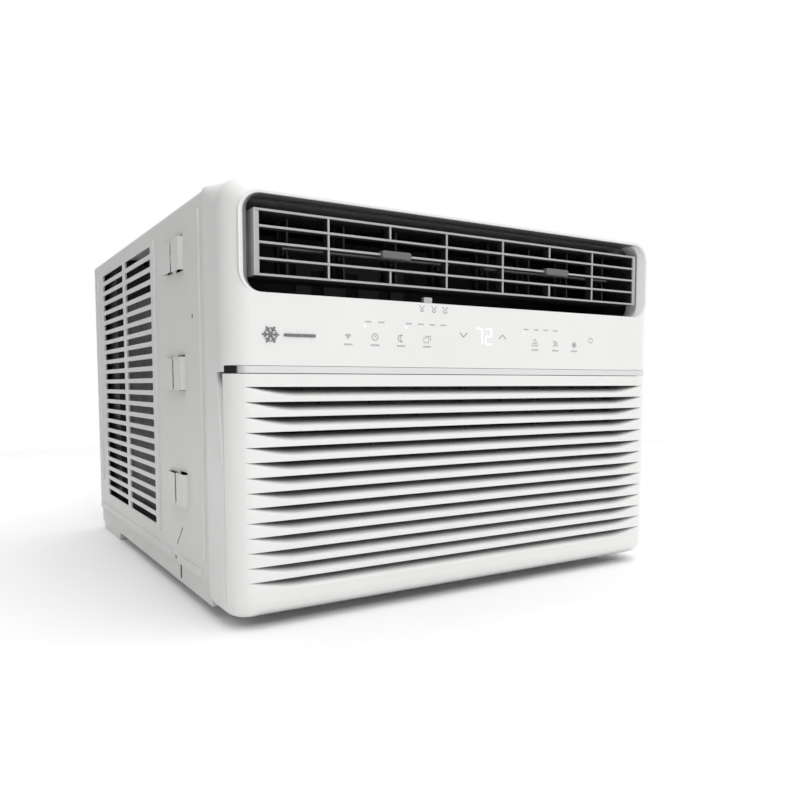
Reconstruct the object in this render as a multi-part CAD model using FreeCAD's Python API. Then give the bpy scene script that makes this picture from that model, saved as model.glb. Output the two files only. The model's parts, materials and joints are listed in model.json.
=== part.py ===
import FreeCAD, Part
import math
import os

# Window air conditioner. Millimetres, +Z up, +Y to the rear (outdoors), +X to the right seen from the room.
# The origin is under the middle of the unit, at the level that it stands on.

V = FreeCAD.Vector

# Whole unit
WIDTH = 483.0
DEPTH = 540.0
HEIGHT = 357.0
FRONT = -DEPTH / 2
PLASTIC = 2.5
SHEET = 0.9

# Front panel, intake grille and trim
PANEL_HALF = WIDTH / 2
PANEL_DEPTH = 51.5
PANEL_BOTTOM = 9.0
UPRIGHT_RADIUS = 21.0
TOP_RADIUS = 20.0
TOP_REAR_RADIUS = 5.0
BOTTOM_RADIUS = 14.0
SEAM_DEPTH = 13.3
SEAM_GAP = 0.4
TRIM_BOTTOM = 205.6
TRIM_TOP = 211.5
GRILLE_TOP = 205.0
SLIT_COUNT = 14
SLIT_TOP = 194.75
SLIT_PITCH = 11.96
SLIT_HEIGHT = 5.2
SLIT_HALF = 227.0
SLIT_TAPER = 46.0
GRILLE_AXIS_DEPTH = 14.5
GRILLE_AXIS_Z = 15.5
HINGE_INNER = 219.2
HINGE_OUTER = 224.9
HINGE_PIN = 2.5
BADGE_PROUD = 0.7
RUNNING = 0.06

# Outlet opening and louver
OUTLET_HALF = 228.2
OUTLET_BOTTOM = 268.5
OUTLET_TOP = 344.7
OUTLET_CORNER = 17.0
FLANGE_DEPTH = 20.0
THROAT_HALF = 221.5
THROAT_CORNER = 13.0
THROAT_DEPTH = 6.0
LOUVER_HALF = 216.0
LOUVER_END = 4.0
LOUVER_FRONT = 3.5
LOUVER_REAR = 41.5
LOUVER_AXIS_DEPTH = 30.0
LOUVER_AXIS_Z = 307.6
SLAT_PITCH = 12.52
SLAT_THICK = 1.7
SLAT_DEPTH = 9.5
RIB_OFFSETS = (32.7, 92.3, 151.5)
TAB_CENTRES = {"left": -87.5, "right": 100.0}
VANE_OFFSETS = (26.0, 78.0, 130.0, 182.0)
VANE_AXIS_DEPTH = 36.0
VANE_CRANK = 16.0
VENT_LEVER_X = -54.3

# Case and base pan
CASE_HALF = 240.5
CASE_FRONT = 51.9
CASE_REAR = 538.0
CASE_BOTTOM = 27.7
CASE_TOP = 356.0
CASE_CORNER = 5.0
BEAD_PROUD = 1.8
VENT_ROWS = 23
VENT_BOTTOM = 52.6
VENT_PITCH = 12.56
VENT_HEIGHT = 7.6
VENT_COLUMNS = ((231.0, 350.0), (364.0, 482.0))
CURTAIN_TAB_Z = ((298.0, 327.0), (191.5, 221.5), (85.0, 115.5))
PAN_HALF = 239.2
PAN_FLOOR = 10.0
PAN_SIDE_TOP = 45.0
PAN_FRONT_TOP = 30.0

# Coils: low X, high X, front depth, rear depth, low Z, high Z
EVAPORATOR = (-196.0, 176.0, 40.0, 74.0, 34.0, 222.0)
CONDENSER = (-206.0, 206.0, 492.0, 530.0, 18.0, 342.0)
FIN_PITCH = 6.0
FIN_THICK = 1.0
END_PLATE = 1.4

# Turning parts
SHAFT_Z = 178.0
SHAFT_RADIUS = 4.0
COMPRESSOR_X = 150.0
COMPRESSOR_DEPTH = 300.0
COMPRESSOR_RADIUS = 52.0


def y_at(depth):
    """Y of a plane that lies this far behind the front face."""
    return FRONT + depth


def box(x0, x1, d0, d1, z0, z1):
    """Box between X values, depths behind the front face and heights."""
    return Part.makeBox(x1 - x0, d1 - d0, z1 - z0, V(x0, y_at(d0), z0))


def cyl_y(radius, d0, d1, x=0.0, z=SHAFT_Z):
    return Part.makeCylinder(radius, d1 - d0, V(x, y_at(d0), z), V(0, 1, 0))


def cyl_x(radius, x0, x1, depth, z):
    return Part.makeCylinder(radius, x1 - x0, V(x0, y_at(depth), z), V(1, 0, 0))


def cyl_z(radius, z0, z1, x, depth):
    return Part.makeCylinder(radius, z1 - z0, V(x, y_at(depth), z0), V(0, 0, 1))


def fused(shapes):
    """One solid from several that touch or overlap."""
    return shapes[0].fuse(shapes[1:]).removeSplitter()


def mirrored(shape):
    return shape.mirror(V(0, 0, 0), V(1, 0, 0))


def both_sides(shape):
    return [shape, mirrored(shape)]


def edges_along(shape, direction, test=None):
    """Straight edges parallel to a direction, filtered by a test on their middle point."""
    found = []
    for edge in shape.Edges:
        if not isinstance(edge.Curve, (Part.Line, Part.LineSegment)):
            continue
        way = (edge.Vertexes[-1].Point - edge.Vertexes[0].Point).normalize()
        if abs(abs(way.dot(direction)) - 1) > 1e-6:
            continue
        if test is None or test(edge.CenterOfMass):
            found.append(edge)
    return found


def round_edges(shape, direction, radius, test=None):
    return shape.makeFillet(radius, edges_along(shape, direction, test))


def tube(points, radius, bend):
    """Bent tube: straight runs joined by tangent arcs of one bend radius."""
    path = []
    start = points[0]
    for before, corner, after in zip(points, points[1:], points[2:]):
        into = (corner - before).normalize()
        out = (after - corner).normalize()
        turn = into.getAngle(out)
        reach = bend * math.tan(turn / 2)
        arc_start = corner - into * reach
        arc_end = corner + out * reach
        inward = (out - into).normalize()
        centre = corner + inward * (bend / math.cos(turn / 2))
        path.append(Part.LineSegment(start, arc_start).toShape())
        path.append(Part.Arc(arc_start, centre - inward * bend, arc_end).toShape())
        start = arc_end
    path.append(Part.LineSegment(start, points[-1]).toShape())
    wire = Part.Wire(path)
    circle = Part.Wire(Part.makeCircle(radius, points[0], points[1] - points[0]))
    return wire.makePipeShell([circle], True, False)


def rounded_block(half, d0, d1, z0, z1, upright, top, top_rear, bottom):
    """Panel block: rounded uprights, a top edge whose radius grows to the front, a rounded bottom edge."""
    block = round_edges(box(-half, half, d0, d1, z0, z1), V(0, 0, 1), upright,
                        lambda p: p.y < y_at(d0) + 1)
    document = FreeCAD.newDocument("panel")
    source = document.addObject("Part::Feature", "block")
    source.Shape = block
    rounding = document.addObject("Part::Fillet", "rounding")
    rounding.Base = source
    choices = []
    for number, edge in enumerate(block.Edges, 1):
        middle = edge.CenterOfMass
        at_rear = middle.y > y_at(d1) - 1
        if at_rear:
            continue
        at_top = abs(edge.Vertexes[0].Z - z1) < 1e-6 and abs(edge.Vertexes[-1].Z - z1) < 1e-6
        at_bottom = abs(edge.Vertexes[0].Z - z0) < 1e-6 and abs(edge.Vertexes[-1].Z - z0) < 1e-6
        on_side = abs(abs(middle.x) - half) < 1e-6
        if at_top and on_side:
            first_is_rear = edge.Vertexes[0].Y > edge.Vertexes[-1].Y
            radii = (top_rear, top) if first_is_rear else (top, top_rear)
            choices.append((number, radii[0], radii[1]))
        elif at_top:
            choices.append((number, top, top))
        elif at_bottom:
            choices.append((number, bottom, bottom))
    rounding.Edges = choices
    document.recompute()
    shape = rounding.Shape.copy()
    FreeCAD.closeDocument("panel")
    return shape


def panel_shell():
    """Outer skin of the whole front: fixed panel and grille before they are parted."""
    outer = rounded_block(PANEL_HALF, 0, PANEL_DEPTH, PANEL_BOTTOM, HEIGHT,
                          UPRIGHT_RADIUS, TOP_RADIUS, TOP_REAR_RADIUS, BOTTOM_RADIUS)
    inner = rounded_block(PANEL_HALF - PLASTIC, PLASTIC, PANEL_DEPTH + 1, PANEL_BOTTOM + PLASTIC,
                          HEIGHT - PLASTIC, UPRIGHT_RADIUS - PLASTIC, TOP_RADIUS - PLASTIC,
                          TOP_REAR_RADIUS - PLASTIC, BOTTOM_RADIUS - PLASTIC)
    return outer, outer.cut(inner)


def rounded_opening(half, z0, z1, corner, d0, d1):
    """Bar with a rounded-rectangle section that runs along Y."""
    return round_edges(box(-half, half, d0, d1, z0, z1), V(0, 1, 0), corner)


def scoop_cut():
    """Finger scoop beside the grille seam: deep at the top, running out downwards."""
    top = 206.5
    tip = 124.0
    depth_in = 8.5
    rear = 24.0
    outside = -PANEL_HALF - 2
    upper = Part.makePolygon([V(outside, y_at(8), top), V(outside, y_at(rear + 3), top),
                              V(-PANEL_HALF + depth_in, y_at(SEAM_DEPTH + 5), top),
                              V(-PANEL_HALF + depth_in, y_at(8), top), V(outside, y_at(8), top)])
    lower = Part.makePolygon([V(outside, y_at(8), tip), V(outside, y_at(SEAM_DEPTH + 1), tip),
                              V(-PANEL_HALF + 0.6, y_at(SEAM_DEPTH + 0.5), tip),
                              V(-PANEL_HALF + 0.6, y_at(8), tip), V(outside, y_at(8), tip)])
    return Part.makeLoft([upper, lower], True, True)


def front_panel(outer, shell):
    """Fixed moulding: upper front, top and sides, with the outlet opening and the grille's window."""
    flange = outlet_mouth(2.0, FLANGE_DEPTH)
    ledge = outer.common(box(-PANEL_HALF, PANEL_HALF, 0, 22, TRIM_TOP, TRIM_TOP + 2.5))
    carrier = outer.common(box(-PANEL_HALF, PANEL_HALF, 2.6, 22, TRIM_BOTTOM, TRIM_TOP))
    trim_band = trim_outline(1.0, 2.6)
    carrier = carrier.cut(trim_band)
    scoop_wall = box(-PANEL_HALF + 1, -PANEL_HALF + 11, SEAM_DEPTH + SEAM_GAP, 27, 118, 206.5)
    scoop_wall = scoop_wall.common(outer)
    socket = box(-HINGE_OUTER, -HINGE_INNER, 10.9, 30, 12.4, 20.5)
    socket = socket.fuse(box(-HINGE_OUTER, -HINGE_INNER, 20, 30, PANEL_BOTTOM + 1, 13)).common(outer)
    pin_hole = cyl_x(HINGE_PIN + RUNNING, -HINGE_OUTER - 1, -HINGE_INNER + 1,
                     GRILLE_AXIS_DEPTH, GRILLE_AXIS_Z)
    socket = socket.cut(pin_hole)
    window = box(-PANEL_HALF - 5, PANEL_HALF + 5, -5, SEAM_DEPTH + SEAM_GAP, 0, TRIM_BOTTOM)
    ear_room = box(-HINGE_INNER, HINGE_INNER, -5, 25, 0, 26)
    trim_room = box(-PANEL_HALF - 5, PANEL_HALF + 5, -5, 2.6, TRIM_BOTTOM - 1, TRIM_TOP)
    body = shell.fuse([flange, ledge, scoop_wall, mirrored(scoop_wall)])
    body = body.cut([window, swing_room(), ear_room, trim_room, trim_band])
    body = body.fuse([carrier] + both_sides(socket))
    outlet = outlet_mouth(0.0, FLANGE_DEPTH + 1)
    gland_hole = cyl_x(8.2, 230, 250, 40, 40)
    return body.cut([outlet, gland_hole] + both_sides(scoop_cut())).removeSplitter()


def outlet_mouth(grow, rear):
    """Mouth of the outlet: a funnel from the front face, then a straight throat."""
    wires = []
    low = OUTLET_BOTTOM - grow
    high = OUTLET_TOP + grow
    for half, corner, depth in ((OUTLET_HALF, OUTLET_CORNER, 0.0), (THROAT_HALF, THROAT_CORNER, THROAT_DEPTH)):
        bar = rounded_opening(half + grow, low, high, corner + grow, depth, rear)
        face = [f for f in bar.Faces if f.BoundBox.YMax < y_at(depth) + 1e-3][0]
        wires.append(face.OuterWire)
    return Part.makeLoft(wires, True, True).fuse(bar)


def swing_room():
    """Space that the grille's lower rear edge sweeps through as the grille tilts."""
    top = GRILLE_AXIS_Z + 1
    corners = ((-5.0, 0.0), (17.4, 0.0), (17.4, 10.5), (SEAM_DEPTH, top), (-5.0, top))
    points = [V(-PANEL_HALF - 5, y_at(depth), z) for depth, z in corners + corners[:1]]
    return Part.Face(Part.makePolygon(points)).extrude(V(WIDTH + 10, 0, 0))


def trim_outline(proud, depth):
    """Band that follows the rounded front, from its face to a depth behind it."""
    half = PANEL_HALF + proud
    outer = box(-half, half, -proud, 40.0, TRIM_BOTTOM, TRIM_TOP)
    outer = round_edges(outer, V(0, 0, 1), UPRIGHT_RADIUS + proud, lambda p: p.y < y_at(1))
    inner = box(-PANEL_HALF + depth, PANEL_HALF - depth, depth, 41.0, TRIM_BOTTOM - 1, TRIM_TOP + 1)
    inner = round_edges(inner, V(0, 0, 1), UPRIGHT_RADIUS - depth, lambda p: p.y < y_at(depth + 1))
    band = outer.cut(inner)
    return band.common(box(-half - 1, half + 1, -5, 11.6, TRIM_BOTTOM, TRIM_TOP))


def trim_strip():
    """Silver strip under the control area."""
    strip = trim_outline(0.0, 2.4)
    return strip.cut(box(-300, 300, -5, 60, TRIM_TOP - 0.35, TRIM_TOP + 1))


def intake_grille(outer, shell):
    """Hinged lower front with tapered slits, stiffening ribs and hinge pins."""
    region = box(-PANEL_HALF - 1, PANEL_HALF + 1, -1, SEAM_DEPTH, 0, GRILLE_TOP)
    skin = shell.common(region)
    top_lip = outer.common(box(-PANEL_HALF, PANEL_HALF, 0, SEAM_DEPTH, GRILLE_TOP - PLASTIC, GRILLE_TOP))
    ribs = [box(x - 1, x + 1, PLASTIC - 0.5, 9, 30, GRILLE_TOP - 1) for x in (-170, -85, 0, 85, 170)]
    lug = box(-HINGE_INNER + 0.3, -HINGE_INNER + 5, 2, GRILLE_AXIS_DEPTH, 11, 20)
    lug = lug.fuse(cyl_x(4.2, -HINGE_INNER + 0.3, -HINGE_INNER + 5, GRILLE_AXIS_DEPTH, GRILLE_AXIS_Z))
    lug = lug.common(outer)
    pin = cyl_x(HINGE_PIN, -HINGE_OUTER + 0.3, -HINGE_INNER + 3, GRILLE_AXIS_DEPTH, GRILLE_AXIS_Z)
    rail_low = box(-206, 206, PLASTIC - 0.5, 23.6, 25, 27)
    rail_high = box(-206, 206, PLASTIC - 0.5, 23.6, 199.5, 201.5)
    clips = []
    for x in (-150, 0, 150):
        for z0, z1, lip0, lip1 in ((22.4, 27, 22.4, 29), (199.5, 202.5, 196.5, 202.5)):
            clips.append(box(x - 6, x + 6, 20, 30, z0, z1))
            clips.append(box(x - 6, x + 6, 28.7, 30, lip0, lip1))
    body = skin.fuse([top_lip, rail_low, rail_high] + ribs + both_sides(lug) + both_sides(pin) + clips)
    slits = []
    for row in range(SLIT_COUNT):
        top = SLIT_TOP - row * SLIT_PITCH
        low = top - SLIT_HEIGHT
        outline = Part.makePolygon([V(-SLIT_HALF, y_at(-1), top), V(SLIT_HALF, y_at(-1), top),
                                    V(SLIT_HALF - SLIT_TAPER, y_at(-1), low),
                                    V(-SLIT_HALF + SLIT_TAPER, y_at(-1), low),
                                    V(-SLIT_HALF, y_at(-1), top)])
        slits.append(Part.Face(outline).extrude(V(0, PLASTIC + 0.9, 0)))
    return body.cut(slits).removeSplitter()


def air_filter():
    """Filter frame with a coarse lattice that carries the mesh."""
    frame = box(-204, 204, 24.2, 28.2, 27.6, 198.9)
    bars_x = 8
    bars_z = 4
    cells = []
    cell_w = 400.0 / bars_x
    cell_h = 163.3 / bars_z
    for i in range(bars_x):
        for j in range(bars_z):
            x0 = -200 + i * cell_w + 1.2
            z0 = 31.6 + j * cell_h + 1.2
            cells.append(box(x0, x0 + cell_w - 2.4, 24, 27.4, z0, z0 + cell_h - 2.4))
    return frame.cut(cells)


def badge():
    """Plain emblem: a six-armed snow crystal and a bar, raised a little from the panel."""
    x0 = -205.0
    z0 = 235.8
    arms = []
    for turn in range(3):
        arm = Part.makeBox(14, 0.8, 1.3, V(-7, y_at(-BADGE_PROUD), -0.65))
        arm.rotate(V(0, 0, 0), V(0, 1, 0), turn * 60)
        arms.append(arm)
    for turn in range(6):
        for side in (-1, 1):
            twig = Part.makeBox(2.6, 0.8, 0.9, V(0, y_at(-BADGE_PROUD), -0.45))
            twig.rotate(V(0, 0, 0), V(0, 1, 0), side * 55)
            twig.translate(V(3.6, 0, 0))
            twig.rotate(V(0, 0, 0), V(0, 1, 0), turn * 60)
            arms.append(twig)
    crystal = fused(arms)
    crystal.translate(V(x0, 0, z0))
    bar = round_edges(box(x0 + 11, x0 + 39, -BADGE_PROUD, 0.1, z0 - 1.2, z0 + 1.2), V(0, 1, 0), 1.15)
    return Part.makeCompound([crystal, bar]).cut(box(-300, 300, 0, 5, 0, 400))


def display_board():
    return box(-150, 165, 6.0, 7.6, 224, 250)


def light_guide():
    """Diffuser block between the display and the panel's front wall."""
    return round_edges(box(-5, 20, PLASTIC + 0.02, 5.98, 231, 249.5), V(0, 1, 0), 2)


def touch_springs():
    """Sensing springs behind the icons, between the board and the wall."""
    places = [(-136.3, 236.8), (-110.3, 236.8), (-84.2, 236.4), (-57.0, 236.3), (-16.6, 241.7),
              (29.5, 241.3), (70.6, 236.3), (97.5, 236.8), (123.3, 236.2), (146.7, 241.5)]
    return Part.makeCompound([cyl_y(3.0, PLASTIC + 0.02, 5.98, x, z) for x, z in places])


def outlet_duct():
    """Dark lining from the panel's flange to the scroll, with the louver's two bearings."""
    half = OUTLET_HALF - 0.8
    low = OUTLET_BOTTOM + 0.1
    high = OUTLET_TOP - 0.8
    wall = 2.0
    outer = rounded_opening(half + wall, low - wall, high + wall, OUTLET_CORNER, FLANGE_DEPTH + 0.3, 79.7)
    boss = cyl_x(7, -half - 6, -half - 1, LOUVER_AXIS_DEPTH, LOUVER_AXIS_Z)
    outer = outer.fuse(both_sides(boss))
    inner = rounded_opening(half, low, high, OUTLET_CORNER - 2, FLANGE_DEPTH, 80)
    bearing = cyl_x(3 + RUNNING, -half - 4.6, -half + 1, LOUVER_AXIS_DEPTH, LOUVER_AXIS_Z)
    return outer.cut([inner] + both_sides(bearing))


def scroll_housing():
    """Blower scroll below and the plenum that stands on it, open to the duct."""
    joint = 266.6
    throat = box(-104, 104, 84, 148, SHAFT_Z + 40, 275)
    scroll = box(-118, 118, 80, 152, 60, joint)
    scroll = scroll.cut([cyl_y(112, 84, 148), throat, cyl_y(76, 79, 85), cyl_y(16, 147, 153)])
    plenum = box(-229.4, 229.4, 80, 152, joint, 346)
    room = rounded_opening(226.4, 268.6, 343, 12, 79, 148)
    plenum = plenum.cut([throat, room] + vent_windows(17, 147, 153))
    return Part.makeCompound([scroll, plenum])


def vent_windows(offset, d0, d1):
    """Three upright windows of the fresh-air vent."""
    windows = []
    for step in (-1, 0, 1):
        x = VENT_LEVER_X + offset + step * 40
        windows.append(box(x - 7, x + 7, d0, d1, 282, 312))
    return windows


def vent_lever():
    """Lever tab in the outlet's lower edge and its strip along the duct floor."""
    tab = round_edges(box(VENT_LEVER_X - 4.3, VENT_LEVER_X + 4.3, 2.2, 6.2, 268.9, 273.7), V(0, 1, 0), 0.8)
    return tab.fuse(box(VENT_LEVER_X - 4.3, VENT_LEVER_X + 4.3, 4, 30, 268.9, 270.1)).removeSplitter()


def vent_shutter():
    """Strip and shutter plate that the lever slides across the fresh-air windows."""
    strip = box(VENT_LEVER_X - 6, VENT_LEVER_X + 6, 30.0, 145.8, 268.9, 270.1)
    riser = box(VENT_LEVER_X - 6, VENT_LEVER_X + 6, 144.2, 147.4, 268.9, 283)
    blade = box(VENT_LEVER_X - 64, VENT_LEVER_X + 64, 145.8, 147.4, 274, 318)
    blade = blade.cut(vent_windows(0, 145, 148))
    return fused([strip, riser, blade])


def louver_frame():
    """Tilting frame: end plates, five slats, upright ribs and pivot pins."""
    half = LOUVER_HALF
    rise = 2 * SLAT_PITCH
    low = LOUVER_AXIS_Z - rise
    high = LOUVER_AXIS_Z + rise
    t = SLAT_THICK / 2
    rows = [LOUVER_AXIS_Z + k * SLAT_PITCH for k in (-1, 0, 1)]
    slat_rear = LOUVER_FRONT + SLAT_DEPTH
    parts = [box(-half, half, LOUVER_FRONT, slat_rear, z - t, z + t) for z in [low, high] + rows]
    end = box(-half, -half + LOUVER_END, LOUVER_FRONT, LOUVER_REAR, low - t, high + t)
    end = round_edges(end, V(1, 0, 0), 3)
    collar = cyl_x(5, -OUTLET_HALF + 1.4, -half + 1, LOUVER_AXIS_DEPTH, LOUVER_AXIS_Z)
    pin = cyl_x(3, -OUTLET_HALF - 3.4, -half + 1, LOUVER_AXIS_DEPTH, LOUVER_AXIS_Z)
    parts += both_sides(end) + both_sides(collar) + both_sides(pin)
    for offset in RIB_OFFSETS:
        spans = [(low, high)]
        if offset == RIB_OFFSETS[1]:
            spans = [(low, rows[0]), (rows[2], high)]
        for z0, z1 in spans:
            rib = box(offset - t, offset + t, LOUVER_FRONT + 0.4, slat_rear, z0, z1)
            parts += both_sides(rib)
    return fused(parts)


def vane_carrier():
    """Two plates behind the slats, with the bearings of the upright vanes."""
    plates = []
    half = LOUVER_HALF - LOUVER_END - 0.05
    t = SLAT_THICK / 2
    for z in (LOUVER_AXIS_Z - 2 * SLAT_PITCH, LOUVER_AXIS_Z + 2 * SLAT_PITCH):
        plate = box(-half, half, LOUVER_FRONT + SLAT_DEPTH + 0.05, LOUVER_REAR, z - t, z + t)
        holes = []
        for offset in VANE_OFFSETS:
            holes += both_sides(cyl_z(1.5 + RUNNING, z - 5, z + 5, offset, VANE_AXIS_DEPTH))
        plates.append(plate.cut(holes))
    return Part.makeCompound(plates)


def vane(x):
    """Upright vane with pivot pins and a crank pin in a notch for the link bar."""
    low = LOUVER_AXIS_Z - 2 * SLAT_PITCH + SLAT_THICK / 2
    high = LOUVER_AXIS_Z + 2 * SLAT_PITCH - SLAT_THICK / 2
    crank = VANE_AXIS_DEPTH - VANE_CRANK
    blade = box(x - 0.8, x + 0.8, crank - 1.5, VANE_AXIS_DEPTH + 8, low + 1, high - 1)
    blade = blade.cut(box(x - 3, x + 3, crank - 3, crank + 7.5, LOUVER_AXIS_Z - 5.5, LOUVER_AXIS_Z + 5.5))
    crank_pin = cyl_z(1.1, LOUVER_AXIS_Z - 7, LOUVER_AXIS_Z + 7, x, crank)
    hub = cyl_z(2.4, low + 1, high - 1, x, VANE_AXIS_DEPTH)
    pins = cyl_z(1.5, low - 1.3, high + 1.3, x, VANE_AXIS_DEPTH)
    return fused([blade, crank_pin, hub, pins])


def adjuster(side, centre):
    """Finger tab on the middle slat, its arm, and the bar that turns four vanes."""
    sign = -1 if side == "left" else 1
    z = LOUVER_AXIS_Z
    crank = VANE_AXIS_DEPTH - VANE_CRANK
    ends = sorted([sign * (VANE_OFFSETS[0] - 5), sign * (VANE_OFFSETS[-1] + 5)])
    bar = box(ends[0], ends[1], crank - 3, crank + 5, z - 1.5, z + 1.5)
    slots = []
    for offset in VANE_OFFSETS:
        x = sign * offset
        slots.append(box(x - 1.75, x + 1.75, crank - 1.6, crank + 3.6, z - 3, z + 3))
    tab = box(centre - 15, centre + 15, 0.2, 9.5, z - 3.2, z + 3.2)
    tab = round_edges(tab, V(0, 1, 0), 2.2)
    tab = tab.makeFillet(1.2, edges_along(tab, V(1, 0, 0), lambda p: p.y < y_at(1)))
    arm = box(centre - 4, centre + 4, 7, crank - 1, z + 1.2, z + 3.2)
    grip = box(centre - 20, centre + 20, LOUVER_FRONT - 0.25, 16, z - 1.1, z + 1.1)
    return tab.fuse(arm).cut(grip).fuse(bar).cut(slots).removeSplitter()


def side_beads():
    """Pressed beads of one side wall: upright ribs and two long flat bands."""
    beads = []
    for depth, z0, z1 in ((65.0, 44.0, 341.0), (214.0, 49.0, 339.0), (511.0, 68.0, 339.0)):
        beads.append(bead(depth - 2.0, depth + 2.0, z0, z1, 1.9))
    for d0, d1 in ((173.0, 532.0), (73.5, 144.5)):
        beads.append(bead(d0, d1, 28.9, 36.3, 3.5))
    return beads


def bead(d0, d1, z0, z1, corner):
    """One raised bead with rounded ends and softened outer edges."""
    face = -CASE_HALF - BEAD_PROUD
    block = round_edges(box(face, -CASE_HALF + SHEET / 2, d0, d1, z0, z1), V(1, 0, 0), corner)
    return block.makeFillet(0.6, [e for e in block.Edges if e.BoundBox.XMax < face + 0.1])


def vent_slots():
    """Louvre slots of one side wall."""
    slots = []
    for d0, d1 in VENT_COLUMNS:
        for row in range(VENT_ROWS):
            z0 = VENT_BOTTOM + row * VENT_PITCH
            slot = box(-CASE_HALF - 4, -CASE_HALF + 2.2, d0, d1, z0, z0 + VENT_HEIGHT)
            slots.append(round_edges(slot, V(1, 0, 0), 2.2))
    return slots


def top_slots():
    """Louvre slots in the top, over the outdoor fan."""
    slots = []
    for x0 in (-180.0, -55.0, 70.0):
        for row in range(9):
            d0 = 330.0 + row * 13.0
            slot = box(x0, x0 + 110, d0, d0 + 7, CASE_TOP - 4, CASE_TOP + 4)
            slots.append(round_edges(slot, V(0, 0, 1), 2.2))
    return slots


def outer_case():
    """Sheet-metal wrap: two sides and the top, with slots, beads, holes and lanced windows."""
    shell = box(-CASE_HALF, CASE_HALF, CASE_FRONT, CASE_REAR, CASE_BOTTOM, CASE_TOP)
    shell = round_edges(shell, V(0, 1, 0), CASE_CORNER, lambda p: p.z > 300)
    hollow = box(-CASE_HALF + SHEET, CASE_HALF - SHEET, CASE_FRONT - 1, CASE_REAR + 1,
                 CASE_BOTTOM - 1, CASE_TOP - SHEET)
    hollow = round_edges(hollow, V(0, 1, 0), CASE_CORNER - SHEET, lambda p: p.z > 300)
    shell = shell.cut(hollow)
    rims = [box(-CASE_HALF + 0.5, -CASE_HALF + 2.2, d1 + 0.1, d1 + 1.2, 46, 344) for _, d1 in VENT_COLUMNS]
    additions = []
    for piece in side_beads() + rims:
        additions += both_sides(piece)
    shell = shell.fuse(additions)
    cuts = []
    for slot in vent_slots() + curtain_windows() + side_holes():
        cuts += both_sides(slot)
    cuts += top_slots()
    cuts += [cyl_z(2.2, CASE_TOP - 5, CASE_TOP + 5, x, 98) for x in (-190, 190)]
    return shell.cut(cuts)


def side_holes():
    """Screw hole, sill bracket hole, and the two small slits of one side wall."""
    screw = cyl_x(2.2, -CASE_HALF - 5, -CASE_HALF + 5, 88.9, 255.4)
    slit = Part.makeBox(10, 2.0, 28, V(-CASE_HALF - 5, y_at(142.0), 41))
    slit.rotate(V(0, y_at(143), 55), V(1, 0, 0), 47)
    return [screw, bracket_hole(), slit]


def bracket_hole():
    """Hole for the sill bracket's screw, through the case side and the pan behind it."""
    return round_edges(box(-250, -230, 155.6, 161.6, 29.4, 33.8), V(1, 0, 0), 2.1)


def curtain_windows():
    """Windows that the curtain tabs were lanced from, in one side wall."""
    windows = []
    for z0, z1 in CURTAIN_TAB_Z:
        windows.append(box(-CASE_HALF - 3, -CASE_HALF + 3, 113.5, 136.0, z0 - 0.5, z1 + 1.5))
        windows.append(box(-CASE_HALF - 3, -CASE_HALF + 3, 146.5, 168.0, z0 + 1, z1 - 1))
    return windows


def curtain_tabs():
    """Six folded tabs of one side: pairs that face each other across a slot."""
    reach = 4.6
    tabs = []
    for z0, z1 in CURTAIN_TAB_Z:
        x1 = -CASE_HALF
        x0 = x1 - reach
        front = [box(x0, x1, 112.0, 113.3, z0, z1), box(x0, x0 + SHEET, 112.0, 136.0, z0, z1)]
        rear = [box(x0, x1, 168.3, 169.6, z0 + 1, z1 - 1), box(x0, x0 + SHEET, 141.0, 169.6, z0 + 1, z1 - 1)]
        for pair in (front, rear):
            tab = fused(pair)
            tabs.append(round_edges(tab, V(0, 0, 1), 0.6, lambda p: p.x < -CASE_HALF - reach + 0.1))
    return Part.makeCompound(tabs)


def base_pan():
    """Pressed tray with a deep sump at the rear and two pressed feet at the front."""
    def solid(inset):
        tray = box(-PAN_HALF + inset, PAN_HALF - inset, 52.5 + inset, 536.4 - inset, PAN_FLOOR + inset, 50)
        low = inset
        half = PAN_HALF - inset
        sump_side = Part.makePolygon([V(-half, y_at(423 + inset), PAN_FLOOR + inset + 1),
                                      V(-half, y_at(429 + inset), low), V(-half, y_at(519 - inset), low),
                                      V(-half, y_at(529 - inset), PAN_FLOOR + inset + 1),
                                      V(-half, y_at(423 + inset), PAN_FLOOR + inset + 1)])
        sump = Part.Face(sump_side).extrude(V(2 * half, 0, 0))
        feet = []
        for x0, x1 in ((-215, -110), (110, 215)):
            feet.append(box(x0 + inset, x1 - inset, 96 + inset, 140 - inset, low, PAN_FLOOR + inset + 1))
        return tray.fuse([sump] + feet)
    above = box(-300, 300, 50, 540, PAN_SIDE_TOP, 80)
    front_above = box(-PAN_HALF + SHEET, PAN_HALF - SHEET, 50, 60, PAN_FRONT_TOP, 80)
    drain = cyl_z(6.0, -1, 5, -180, 500)
    side_slot = round_edges(box(-250, -230, 143.4, 149.4, 13.0, 27.0), V(1, 0, 0), 2.6)
    openings = both_sides(side_slot) + both_sides(bracket_hole())
    return solid(0).cut([solid(SHEET), drain, above, front_above] + openings)


def drain_plug():
    """Rubber plug in the sump's drain hole."""
    return fused([cyl_z(5.9, 0.2, 3.0, -180, 500), cyl_z(8.5, SHEET, 3.2, -180, 500)])


def rear_panel():
    """Frame that closes the back around the condenser."""
    plate = box(-CASE_HALF + SHEET + 0.1, CASE_HALF - SHEET - 0.1, 536.6, 538.0, 28, CASE_TOP - SHEET - 0.2)
    plate = round_edges(plate, V(0, 1, 0), 3.6)
    window = rounded_opening(214, 34, 342, 6, 536, 540)
    return plate.cut(window)


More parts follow.
